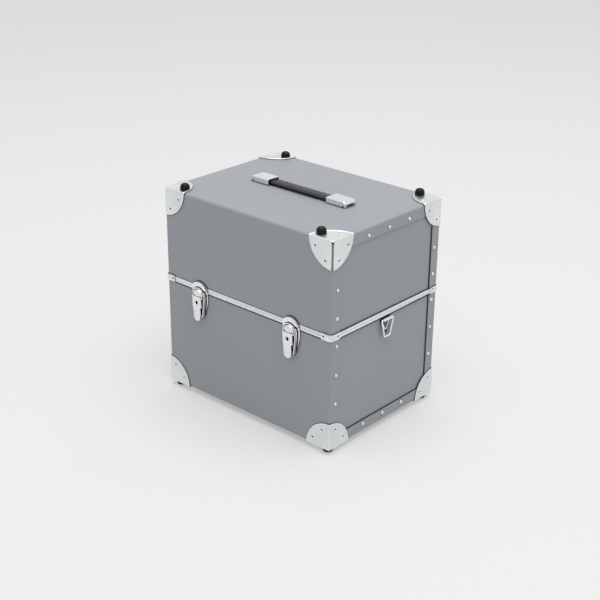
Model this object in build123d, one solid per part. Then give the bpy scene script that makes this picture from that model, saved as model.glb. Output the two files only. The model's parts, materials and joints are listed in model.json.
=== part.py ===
from build123d import *
import os
from math import asin, atan, cos, degrees, hypot, radians, sin, tan

# A hard case for 12-inch records: fibre box and lid, metal corners, draw latches, strap handle, side rings.
# Sizes are in millimetres. X runs left to right, Y from front to back, Z up from the floor.

# Case
case_width = 350.0
case_depth = 260.0
case_height = 340.0
lid_height = 152.0
fibre = 2.0
flange_width = 20.0
bend_radius = 4.5
fold_radius = 3.5
panel_clearance = 0.3
seam_gap = 0.3
seat_gap = 0.3

# Aluminium rims round the seam
band_height = 4.25
band_sheet = 0.8
rim_leg_height = 9.0
tongue_height = 6.0
tongue_clearance = 0.6
clasp_sheet = 0.8
clasp_leg = 20.0
clasp_height = 5.4

# Corner plates
corner_radius = 45.0
corner_sheet = 1.2
corner_edge_chamfer = 1.0
lobe_sides = 24
seam_slit = 2.0
relief_width = 5.0
relief_height = 3.5
relief_drop = 2.0

# Split rivets in the flanges
rivet_head_radius = 3.75
rivet_crown_radius = 2.2
rivet_head_height = 1.8
rivet_inset = 13.0
rivet_sides = 6
rivet_spread = 48.5
lid_rivet_rise = 28.0
base_rivet_drop = 16.5
lid_rivet_clearance = 34.0
base_rivet_clearance = 30.0
shank_width = 2.4
shank_clearance = 0.05

# Rubber knobs on the top, rubber feet underneath, and the bolts that hold them
knob_radius = 8.0
knob_top_radius = 6.6
knob_height = 11.0
knob_side_inset = 33.0
knob_front_inset = 13.0
foot_radius = 8.0
foot_bottom_radius = 7.2
foot_height = 8.0
foot_inset = 12.0
rubber_cover = 2.5
rubber_sides = 10
bolt_head_radius = 3.0
bolt_head_height = 1.8
neck_width = 3.0
nut_radius = 3.2
nut_height = 2.2

# Strap handle
cap_outer = 98.5
cap_length = 38.0
cap_width = 27.0
cap_height = 13.2
cap_end_height = 8.6
cap_slope_length = 11.0
cap_sheet = 1.4
cap_edge = 1.4
cap_brow_chamfer = 2.5
cap_toe_chamfer = 1.6
cap_slot_height = 2.4
cap_slot_width = 15.0
cap_notch = 2.6
cap_notch_height = 5.5
strap_width = 21.5
strap_thickness = 6.0
strap_rest = 2.6
strap_bevel = 1.6
strap_gap = 0.6
ramp_length = 36.0
lift_angle = 40.0
mitre_spare = 3.0
tongue_end_gap = 12.0
stud_inset = 9.5
stud_width = 4.8
stud_clearance = 0.4
slot_spare = 1.6
handle_bolt_inset = 7.0
handle_bolt_spread = 14.0
backing_sheet = 2.0

# Hinges at the back
hinge_offset = 100.0
hinge_width = 44.0
hinge_leaf_height = 28.0
hinge_leaf_corner = 4.0
hinge_sheet = 1.5
hinge_pin_radius = 1.6
pin_clearance = 0.05
knuckle_radius = 3.2
knuckle_sides = 12
bore_sides = 12
knuckle_gap = 0.3
lid_open_angle = 105.0
stop_reach = 5.8
stop_sheet = 1.5

# Latches on the front
latch_offset = 98.0
latch_sheet = 1.2
plate_radius = 17.0
plate_top = 1.0
plate_shoulder = 17.0
plate_length = 50.0
plate_tip_radius = 11.0
strike_rise = 12.5
strike_edge = 0.6
crescent_height = 2.8
crescent_gap = 1.2
lever_width = 18.5
lever_front = 10.2
lever_wall_back = 4.0
lever_shoulder = 31.0
lever_shoulder_chamfer = 2.0
thumb_sides = 16
thumb_width = 14.7
thumb_wall_back = 6.0
lever_reach = 53.0
lever_pivot_drop = 12.15
roll_radius = 1.5
lever_pin_radius = 0.8
ear_sheet = 1.2
ear_foot = 10.0
bail_radius = 13.0
arch_sides = 32
bail_strip = 1.8
bail_back = 3.0
bail_front = 7.0
bail_rise = 3.5
bail_waist = 20.0
bail_foot_half = 10.7
bail_arm = 30.0
bail_pin_radius = 1.1
barrel_radius = 3.6
barrel_recess = 0.2
key_drop = 21.0
key_hole_radius = 1.6
key_hole_sides = 10
key_slot_width = 1.6
key_slot_length = 3.2
key_depth = 3.5
cam_length = 7.0
cam_width = 4.0
cam_sheet = 1.2
cam_back = 2.6
dome_radius = 8.0
dome_drop = 9.0
dome_front = 9.6
dome_lean = 1.0
dome_sides = 16
part_gap = 0.4

# Rings on the ends
ring_drop = 10.0
ring_standoff = 5.0
ring_wire_radius = 1.6
ring_sides = 8
bend_steps = 3
ring_bore_clearance = 0.08
ring_top_half = 14.4
ring_bottom_half = 9.4
ring_height = 28.7
ring_top_bend = 2.6
ring_bottom_bend = 7.0
eye_radius = 2.7
eye_sides = 16
eye_width = 23.0
bracket_sheet = 1.6
bracket_reach = 26.0
bracket_tip_radius = 4.0

# Places worked out from the sizes above
half_x = case_width / 2
half_y = case_depth / 2
case_floor = foot_height + corner_sheet
case_top = case_floor + case_height
seam = case_top - lid_height
rim_face = seam_gap / 2
rim_web = rim_face + band_sheet
plate_face = band_sheet + latch_sheet
leaf_face = band_sheet + hinge_sheet
lever_pivot_out = lever_front - roll_radius
bail_pivot_drop = lever_pivot_drop + bail_arm
bail_pivot_out = (bail_back + bail_front) / 2
bail_eye_radius = (bail_front - bail_back) / 2
arch_drop = bail_radius - bail_rise
hinge_axis_out = band_sheet + part_gap + knuckle_radius
cap_mouth = cap_outer - cap_length
tongue_length = cap_length - tongue_end_gap
lid_rivet_rises = (lid_rivet_rise, lid_height - corner_radius - lid_rivet_clearance)
base_rivet_lowest = seam - case_floor - corner_radius - base_rivet_clearance
base_rivet_drops = (base_rivet_drop, (base_rivet_drop + base_rivet_lowest) / 2, base_rivet_lowest)
strap_middle = case_top + strap_rest + strap_thickness / 2
ramp_slide = ramp_length * (1 - cos(radians(lift_angle)))

# Open, the stop lip leans on the base leaf. Shut, it therefore stands this far above level.
stop_room = hinge_axis_out - leaf_face - knuckle_gap
stop_lean = asin(stop_room / hypot(stop_reach, stop_sheet / 2)) - atan(stop_sheet / 2 / stop_reach)
stop_tilt = radians(lid_open_angle - 90) - stop_lean
hinge_reach = hinge_axis_out + stop_reach * cos(stop_tilt) + stop_sheet / 2 * abs(sin(stop_tilt))

# The part stands centred between the furthest points of its latches and its hinges.
to_frame = Pos(0, (lever_front - hinge_reach) / 2, 0)
upwards = (Align.CENTER, Align.CENTER, Align.MIN)
sides = {"left": -1, "right": 1}


def save(name, *shapes):
    solids = [solid for shape in shapes for solid in (to_frame * shape).solids()]
    export_step(Compound(children=solids), f"parts/{name}.step")


def box_between(low, high):
    size = [b - a for a, b in zip(low, high)]
    middle = [(a + b) / 2 for a, b in zip(low, high)]
    return Pos(*middle) * Box(*size)


def slab(sketch, low, high):
    # The sketch as a plate, from low to high above its own plane.
    return Pos(0, 0, low) * extrude(sketch, high - low, dir=(0, 0, 1))


def faceted(radius, end_radius, height, side_count):
    # A tapered round form with flat sides.
    end = Pos(0, 0, height) * RegularPolygon(end_radius, side_count)
    return loft([RegularPolygon(radius, side_count), end], ruled=True)


def rod(radius, low, high, up=0, out=0):
    # A round bar along X, at this height and distance out.
    return Pos((low + high) / 2, up, out) * Rot(0, 90, 0) * Cylinder(radius, high - low)


def bar(radius, side_count, low, high, up=0, out=0):
    # The same with flat sides.
    return Pos(0, up, out) * Plane.YZ.location * slab(RegularPolygon(radius, side_count), low, high)


def bore(radius, half, up=0, out=0):
    # A hole along X for a round pin, whose flat sides touch this radius.
    section = RegularPolygon(radius, bore_sides, major_radius=False)
    return Pos(0, up, out) * Plane.YZ.location * slab(section, -half, half)


# Faces that carry fittings: local X runs along the face, Y up from the seam and Z outwards.
def on_front(x):
    return Plane(origin=(x, -half_y, seam), x_dir=(1, 0, 0), z_dir=(0, -1, 0)).location


def on_back(x):
    return Plane(origin=(x, half_y, seam), x_dir=(-1, 0, 0), z_dir=(0, 1, 0)).location


def on_end(side):
    origin = (side * (half_x - fibre), 0, seam)
    return Plane(origin=origin, x_dir=(0, side, 0), z_dir=(side, 0, 0)).location


def seat(point, direction):
    return Plane(origin=point, z_dir=direction).location


# Rivets and bolts
def rivet(grip):
    # A faceted crowned head on a square shank.
    head = faceted(rivet_head_radius, rivet_crown_radius, rivet_head_height, rivet_sides)
    return head + Pos(0, 0, -grip / 2) * Box(shank_width, shank_width, grip)


def bolt(top, grip):
    # A square shank from this height above its seat, with its hexagon nut below the grip.
    length = grip + seat_gap + nut_height
    shank = Pos(0, 0, (top - length) / 2) * Box(neck_width, neck_width, top + length)
    return shank + slab(RegularPolygon(nut_radius, 6), -length, -length + nut_height)


def punched(places, width, depth):
    # Square holes for shanks of this width, through a sheet of this depth below each place.
    hole_width = width + 2 * shank_clearance
    return [place * Pos(0, 0, -depth / 2) * Box(hole_width, hole_width, depth + seat_gap) for place in places]


def flange_seats(levels, edge_level):
    # Rivets up both upright flanges of each end, and along its top or bottom flange.
    spots = [(front * (half_y - rivet_inset), level) for front in (-1, 1) for level in levels]
    spots += [(step * rivet_spread, edge_level) for step in (-1, 0, 1)]
    return [seat((end * half_x, y, z), (end, 0, 0)) for end in (-1, 1) for y, z in spots]


lid_rivet_seats = flange_seats([seam + rise for rise in lid_rivet_rises], case_top - rivet_inset)
base_rivet_seats = flange_seats([seam - drop for drop in base_rivet_drops], case_floor + rivet_inset)
corners = [(x, y) for x in (-1, 1) for y in (-1, 1)]
knob_spots = [(x * (half_x - knob_side_inset), y * (half_y - knob_front_inset)) for x, y in corners]
foot_spots = [(x * (half_x - foot_inset), y * (half_y - foot_inset)) for x, y in corners]
knob_seats = [seat((x, y, case_top + corner_sheet), (0, 0, 1)) for x, y in knob_spots]
foot_seats = [seat((x, y, case_floor - corner_sheet), (0, 0, -1)) for x, y in foot_spots]
handle_bolt_spots = [(x * (cap_outer - handle_bolt_inset), y * handle_bolt_spread / 2) for x, y in corners]
handle_bolt_seats = [seat((x, y, case_top + cap_sheet), (0, 0, 1)) for x, y in handle_bolt_spots]


# Fibre
def bent_block(width, depth, height, bend, fold):
    # The closed face is at Z 0. Its two long edges are bent, and the ends are folded all but at the rim.
    block = Box(width, depth, height, align=upwards)
    block = fillet(block.edges().filter_by(Axis.X).group_by(Axis.Z)[0], bend)
    faces = block.faces().sort_by(Axis.X)
    edges = faces[0].edges() + faces[-1].edges()
    return fillet([edge for edge in edges if edge.center().Z < height - bend / 2], fold)


def sheet_blocks(height):
    # Blocks that part the bent sheet into its closed face, front and back, down the middle of each bend.
    spare = 1.0
    out = half_y + spare
    reach = half_y - flange_width - spare
    level = flange_width + spare
    closed = [(-out, -spare), (out, -spare), (reach, level), (-reach, level)]
    back = [(out, -spare), (out, height + spare), (reach, height + spare), (reach, level)]
    front = [(-y, z) for y, z in back]
    outlines = [Polygon(*points, align=None) for points in (closed, front, back)]
    return [Plane.YZ.location * slab(outline, -case_width, case_width) for outline in outlines]


def wrap(height):
    # One sheet bent round the front, the closed face and the back, with flanges folded over both ends
    # and notched away where the corner plates cover them.
    outside = bent_block(case_width, case_depth, height, bend_radius, fold_radius)
    inner_size = (case_width - 2 * fibre, case_depth - 2 * fibre, height)
    inside = bent_block(*inner_size, bend_radius - fibre, fold_radius - fibre)
    window = box_between(
        (-case_width, flange_width - half_y, flange_width),
        (case_width, half_y - flange_width, height + fibre),
    )
    notch = Box(2 * fold_radius, 2 * bend_radius, 2 * bend_radius)
    notches = [Pos(x * half_x, y * half_y, 0) * notch for x, y in corners]
    sheet = outside - Pos(0, 0, fibre) * inside - window - notches
    return [sheet & block for block in sheet_blocks(height)]


def end_panel(height, side):
    # Set in behind the flanges of one end.
    edge = fold_radius + panel_clearance
    face = Rectangle(case_depth - 2 * edge, height - edge, align=(Align.CENTER, Align.MIN))
    place = Plane(origin=(side * (half_x - fibre), 0, edge), x_dir=(0, side, 0), z_dir=(side, 0, 0))
    return place.location * slab(face, -fibre, 0)


base_shell = Pos(0, 0, case_floor)
lid_shell = Pos(0, 0, case_top) * Rot(180, 0, 0)
base_shell_height = seam - rim_web - case_floor
lid_shell_height = lid_height - rim_web


# Aluminium
def rim_outline(grow_x, grow_y):
    # The case's outline seen from above. Outside the fibre its corners are round, inside they are square.
    size = (2 * (half_x + grow_x), 2 * (half_y + grow_y))
    return RectangleRounded(*size, fold_radius + grow_y) if grow_y >= 0 else Rectangle(*size)


def rim_ring(grow_x, grow_y, sheet, levels):
    # A strip that runs right round at these levels from the seam.
    ring = rim_outline(grow_x, grow_y) - rim_outline(grow_x - sheet, grow_y - sheet)
    return Pos(0, 0, seam) * slab(ring, min(levels), max(levels))


def rim_frame(side):
    # Outer leg over the fibre, web across its edge and inner leg behind it, in two long bars
    # with two short ones between them. Side 1 is the lid's.
    wall_x = -2 * fibre
    wall_y = -fibre
    outer = rim_ring(band_sheet, band_sheet, band_sheet, (side * rim_face, side * band_height))
    inner = rim_ring(wall_x, wall_y, band_sheet, (side * rim_face, side * rim_leg_height))
    frame = outer + inner
    step = 0
    if side < 0:
        step = band_sheet + tongue_clearance
        frame += rim_ring(wall_x - step, wall_y - step, band_sheet, (-rim_web, tongue_height))
    edge = step + band_sheet
    levels = (side * rim_face, side * rim_web)
    web = rim_outline(band_sheet, band_sheet) - rim_outline(wall_x - edge, wall_y - edge)
    frame += Pos(0, 0, seam) * slab(web, min(levels), max(levels))
    between = Pos(0, 0, seam) * Box(2 * case_width, 2 * (half_y + wall_y - edge), case_height)
    return [frame - between, frame & between]


def clasp(x_side, y_side, out, levels):
    # An angle piece over one corner of the bands.
    reach = out + clasp_sheet
    corner = (x_side * (half_x + reach), y_side * (half_y + reach))
    keep = Pos(*corner, seam) * Box(2 * clasp_leg, 2 * clasp_leg, 4 * clasp_height)
    return rim_ring(reach, reach, clasp_sheet, levels) & keep


# Corner plates
def corner_plate(bolt_spot, open_seam):
    # Three quarter-round lobes folded about the corner of the case, which is at the origin here.
    reach = corner_radius + corner_sheet
    quarter = RegularPolygon(reach, lobe_sides) & Rectangle(reach, reach, align=(Align.MIN, Align.MIN))
    planes = [Plane.XY, Plane.YZ, Plane.ZX]
    lobes = [plane.location * slab(quarter, 0, corner_sheet) for plane in planes]
    block = Box(2 * reach, 2 * reach, 2 * reach, align=(Align.MIN, Align.MIN, Align.MIN))
    folds = [edge for edge in block.edges() if edge.center().length < reach + corner_sheet]
    plate = (Solid() + lobes) & chamfer(folds, corner_edge_chamfer)
    plate = Pos(-corner_sheet, -corner_sheet, -corner_sheet) * plate
    if open_seam:
        # The upright edge is slit, with a wider relief notch at the closed end.
        slit = box_between((-reach, -seam_slit / 2, 0), (reach, seam_slit / 2, reach))
        relief_end = relief_drop + relief_height
        relief = box_between((-reach, -relief_width / 2, relief_drop), (reach, relief_width / 2, relief_end))
        plate -= [Rot(0, 0, 45) * slit, Rot(0, 0, 45) * relief]
    return plate - punched([seat((*bolt_spot, -corner_sheet), (0, 0, -1))], neck_width, corner_sheet)


def at_corner(plate, x_side, y_side, top):
    # Turned over by mirrors from the left front bottom corner.
    plate = Pos(-half_x, -half_y, case_floor) * plate
    if x_side > 0:
        plate = mirror(plate, Plane.YZ)
    if y_side > 0:
        plate = mirror(plate, Plane.XZ)
    return mirror(plate, Plane.XY.offset((case_floor + case_top) / 2)) if top else plate


# Rubber
def rubber(radius, end_radius, height):
    # A tapered knob or foot, moulded over the bolt's end.
    body = faceted(radius, end_radius, height, rubber_sides)
    return body - punched([Pos(0, 0, height - rubber_cover)], neck_width, height - rubber_cover)


# Handle
def cap_block(length, width, height, end_height, edge):
    # Solid form of a cap, from its mouth at X 0 to its lower, rounded outer end.
    brow = (length - cap_slope_length, height)
    toe = (length, end_height)
    side_view = Polygon((0, 0), (0, height), brow, toe, (length, 0), align=None)
    for corner, size in ((brow, cap_brow_chamfer), (toe, cap_toe_chamfer)):
        side_view = chamfer(side_view.vertices().sort_by_distance((*corner, 0))[0], size)
    block = Rot(90, 0, 0) * slab(side_view, -width / 2, width / 2)
    if not edge:
        return block
    outer = [line for line in block.edges() if abs(line.center().Y) > width / 2 - 0.01]
    upper = [line for line in outer if line.center().Z > end_height / 2]
    return chamfer([line for line in upper if 0.01 < line.center().X < length - 0.01], edge)


def handle_cap(side):
    end = cap_length - cap_sheet
    inner_half = cap_width / 2 - cap_sheet
    slot_half = cap_slot_width / 2
    shell = cap_block(cap_length, cap_width, cap_height, cap_end_height, cap_edge)
    inside = cap_block(end, 2 * inner_half, cap_height - cap_sheet, cap_end_height - cap_sheet, 0)
    floor = box_between((0, -inner_half, 0), (end, inner_half, cap_sheet))
    slot = box_between((end, -slot_half, cap_sheet), (cap_length, slot_half, cap_sheet + cap_slot_height))
    cap = shell - inside - slot
    notch = Box(2 * cap_notch, 2 * cap_notch, 2 * cap_notch_height)
    cap -= [Pos(cap_length, y * cap_width / 2, 0) * notch for y in (-1, 1)]
    stud = Pos(stud_inset, 0, 0) * Box(stud_width, stud_width, cap_height - cap_sheet / 2, align=upwards)
    cap = cap + floor + stud
    cap = Pos(cap_mouth, 0, case_top) * cap - punched(handle_bolt_seats, neck_width, cap_sheet)
    return cap if side > 0 else mirror(cap, Plane.YZ)


def strap_piece(start, end, closing_start, closing_end):
    # A length of strap. Each end is mitred on the side that closes when the handle lifts: 1 is the top.
    cut = strap_thickness / 2 * tan(radians(lift_angle / 2 + mitre_spare))
    low = start + strap_gap / 2
    high = end - strap_gap / 2
    half = strap_thickness / 2
    points = [(low, 0), (low + cut * (closing_start > 0), half), (high - cut * (closing_end > 0), half)]
    points += [(high, 0), (high - cut * (closing_end < 0), -half), (low + cut * (closing_start < 0), -half)]
    side_view = Polygon(*points, align=None)
    bar = Rot(90, 0, 0) * slab(side_view, -strap_width / 2, strap_width / 2)
    section = chamfer(Rectangle(strap_width, strap_thickness).vertices(), strap_bevel)
    sheath = Plane.YZ.location * slab(section, low, high)
    return Pos(0, 0, strap_middle) * (bar & sheath)


def strap_tongue(side):
    # The strap's end in its cap, slotted round the stud.
    tongue = strap_piece(cap_mouth, cap_mouth + tongue_length, 1, 0)
    near = cap_mouth + stud_inset - slot_spare
    far = cap_mouth + stud_inset + ramp_slide + slot_spare
    half = stud_width / 2 + stud_clearance
    tongue -= box_between((near - half, -half, case_top), (far + half, half, case_top + cap_height))
    return tongue if side > 0 else mirror(tongue, Plane.YZ)


# Fittings that lie flat on the fibre and step out over the band
def stepped(outline, sheet):
    edge = band_height + part_gap
    strip = Rectangle(case_width, 2 * (edge + sheet))
    gap = Rectangle(case_width, 2 * edge)
    return slab(outline - gap, 0, sheet) + slab(outline & strip, band_sheet, band_sheet + sheet)


# Hinges
def hinge_leaf(side):
    # Side 1 is the lid's leaf, with the two outer knuckles and the stop lips.
    inner = hinge_width / 6 - knuckle_gap / 2
    outer = hinge_width / 6 + knuckle_gap / 2
    half = hinge_width / 2
    mine = [(-half, -outer), (outer, half)] if side > 0 else [(-inner, inner)]
    theirs = [(-outer, outer)] if side > 0 else [(-half, -inner), (inner, half)]
    face = Rectangle(hinge_width, hinge_leaf_height, align=(Align.CENTER, Align.MIN))
    face = chamfer(face.vertices().group_by(Axis.Y)[-1], hinge_leaf_corner)
    leaf = stepped(face, hinge_sheet)
    for low, high in theirs:
        leaf -= box_between((low, -1, 0), (high, knuckle_radius + part_gap, leaf_face))
    for low, high in mine:
        leaf += bar(knuckle_radius, knuckle_sides, low, high, 0, hinge_axis_out)
        if side > 0:
            lip_low = (low, -stop_sheet / 2, hinge_pin_radius + stop_sheet / 2)
            lip = box_between(lip_low, (high, stop_sheet / 2, stop_reach))
            leaf += Pos(0, 0, hinge_axis_out) * Rot(-degrees(stop_tilt), 0, 0) * lip
    leaf -= bore(hinge_pin_radius + pin_clearance, half, 0, hinge_axis_out)
    return leaf if side > 0 else mirror(leaf, Plane.XZ)


# Latches
strike_disc = Pos(0, strike_rise - plate_radius) * RegularPolygon(plate_radius, arch_sides)
arch_middle = Pos(0, -arch_drop)


def latch_strike():
    # On the lid: a flat plate whose raised crescent goes round the bail's arch.
    above = Rectangle(2 * plate_radius, 2 * plate_radius, align=(Align.CENTER, Align.MIN))
    disc = strike_disc & Pos(0, strike_edge) * above
    crescent = disc - arch_middle * RegularPolygon(bail_radius + crescent_gap, arch_sides)
    return stepped(disc, latch_sheet) + slab(crescent, band_sheet, plate_face + crescent_height)


def latch_plate():
    # On the base: a flat plate with a pressed dome and two ears for the lever's pin.
    shoulder = Pos(0, -plate_shoulder) * RegularPolygon(plate_radius, arch_sides)
    tip = Pos(0, plate_tip_radius - plate_length) * RegularPolygon(plate_tip_radius, arch_sides)
    below = Rectangle(4 * plate_radius, 2 * plate_length, align=(Align.CENTER, Align.MAX))
    outline = make_hull([*strike_disc.edges(), *shoulder.edges(), *tip.edges()])
    outline &= Pos(0, -plate_top) * below
    floor = -lever_pivot_drop + roll_radius + seam_gap
    top = Rectangle(4 * dome_radius, 4 * dome_radius, align=(Align.CENTER, Align.MIN))
    keep = slab(Pos(0, floor) * top, band_sheet, dome_front)
    cone = faceted(dome_radius + dome_lean, dome_radius - dome_lean, dome_front, dome_sides)
    plate = stepped(outline, latch_sheet) + (Pos(0, -dome_drop, 0) * cone & keep)
    half_ear = [(ear_foot / 2, 0), (roll_radius, lever_pivot_out), (roll_radius / 2, lever_front)]
    ear_outline = Polygon(*half_ear, *[(-x, z) for x, z in reversed(half_ear)], align=None)
    ear = Pos(0, -lever_pivot_drop, 0) * Plane.YZ.location * slab(ear_outline, 0, ear_sheet)
    inner = lever_width / 2 + seat_gap
    plate += [Pos(inner, 0, 0) * ear, Pos(-inner - ear_sheet, 0, 0) * ear]
    return plate - bore(lever_pin_radius + pin_clearance, plate_radius, -lever_pivot_drop, lever_pivot_out)


def latch_lever():
    # A pressed channel: broad at its pin, with a narrower rounded thumb piece.
    top = -lever_pivot_drop
    hung = (Align.CENTER, Align.MAX)
    broad = Pos(0, top) * Rectangle(lever_width, lever_shoulder - lever_pivot_drop, align=hung)
    broad = chamfer(broad.vertices().group_by(Axis.Y)[0], lever_shoulder_chamfer)
    thumb_end = thumb_width / 2 - lever_reach
    thumb = Pos(0, top) * Rectangle(thumb_width, top - thumb_end, align=hung)
    thumb += Pos(0, thumb_end) * RegularPolygon(thumb_width / 2, thumb_sides)
    outline = broad + thumb
    mouth = Pos(0, top) * Rectangle(lever_width - 2 * latch_sheet, 4 * latch_sheet)
    channel = slab(outline, lever_wall_back, lever_front)
    hollow = offset(outline, -latch_sheet, kind=Kind.INTERSECTION) + mouth
    channel -= slab(hollow, lever_wall_back, lever_front - latch_sheet)
    channel -= box_between((-lever_width, -lever_reach, 0), (lever_width, -lever_shoulder, thumb_wall_back))
    half = lever_width / 2
    lever = channel + bar(roll_radius, knuckle_sides, -half, half, top, lever_pivot_out)
    lug_low = (thumb_width / 2 - latch_sheet, -bail_pivot_drop - bail_eye_radius, bail_back)
    lug = box_between(lug_low, (thumb_width / 2, bail_eye_radius - bail_pivot_drop, lever_front))
    lever += [lug, mirror(lug, Plane.YZ)]
    lever -= Pos(0, -key_drop, 0) * Cylinder(barrel_radius + pin_clearance, 2 * lever_front)
    lever -= bore(lever_pin_radius + pin_clearance, half, top, lever_pivot_out)
    return lever - bore(bail_pin_radius + pin_clearance, half, -bail_pivot_drop, bail_pivot_out)


def latch_bail():
    # A flat strip bent into an arch, with an eye in each foot.
    def outline(shrink):
        arch = arch_middle * RegularPolygon(bail_radius - shrink, arch_sides)
        side = bail_radius - shrink
        foot = bail_foot_half - shrink
        half_points = [(side, -arch_drop), (side, -bail_waist)]
        half_points += [(foot, -bail_pivot_drop), (foot, -lever_reach)]
        return arch + Polygon(*half_points, *[(-x, y) for x, y in reversed(half_points)], align=None)

    strip = slab(outline(0) - outline(bail_strip), bail_back, bail_front)
    foot_low = (-bail_radius, -bail_pivot_drop - bail_eye_radius, 0)
    strip &= box_between(foot_low, (bail_radius, bail_radius, lever_front))
    return strip - bore(bail_pin_radius + pin_clearance, bail_radius, -bail_pivot_drop, bail_pivot_out)


def lock_barrel():
    # Turned by a key: a plug with its keyhole, and a cam behind.
    front = lever_front - barrel_recess
    plug = slab(Circle(barrel_radius), cam_back + cam_sheet, front)
    key_slot = Rectangle(key_slot_width, key_slot_length, align=(Align.CENTER, Align.MAX))
    keyhole = RegularPolygon(key_hole_radius, key_hole_sides) + key_slot
    cam = Rectangle(cam_width, cam_length, align=(Align.CENTER, Align.MAX))
    plug -= slab(keyhole, front - key_depth, front)
    return Pos(0, -key_drop, 0) * (plug + slab(cam, cam_back, cam_back + cam_sheet))


# End rings
def ring_bracket():
    # A plate that narrows to a rounded tip, with its upper edge rolled into an eye.
    half = eye_width / 2
    tip = Pos(0, bracket_tip_radius - bracket_reach) * RegularPolygon(bracket_tip_radius, eye_sides)
    head = Pos(0, -eye_radius / 2) * Rectangle(eye_width, eye_radius)
    plate = slab(make_hull([*head.edges(), *tip.edges()]), 0, bracket_sheet)
    neck = box_between((-half, -eye_radius, 0), (half, bracket_sheet - eye_radius, ring_standoff))
    eye = bar(eye_radius, eye_sides, -half, half, 0, ring_standoff)
    eye_hole = bore(ring_wire_radius + ring_bore_clearance, half, 0, ring_standoff)
    return Pos(0, -ring_drop, 0) * (plate + neck + eye - eye_hole)


def ring():
    # A closed loop of faceted wire, wider at the eye than at its foot, bent round in short flats.
    turns = [Vector(-ring_top_half, 0), Vector(ring_top_half, 0)]
    turns += [Vector(ring_bottom_half, -ring_height), Vector(-ring_bottom_half, -ring_height)]
    bends = [ring_top_bend, ring_top_bend, ring_bottom_bend, ring_bottom_bend]
    outline = FilletPolyline(*turns, radius=bends, close=True)
    points = []
    for edge in outline.edges():
        steps = bend_steps if edge.geom_type == GeomType.CIRCLE else 1
        points += [edge @ (step / steps) for step in range(steps)]
    path = Polyline(*points, close=True)
    start = Plane(origin=path @ 0, z_dir=path % 0)
    section = start.location * RegularPolygon(ring_wire_radius, ring_sides)
    return Pos(0, -ring_drop, ring_standoff) * sweep(section, path, transition=Transition.RIGHT)


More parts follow.
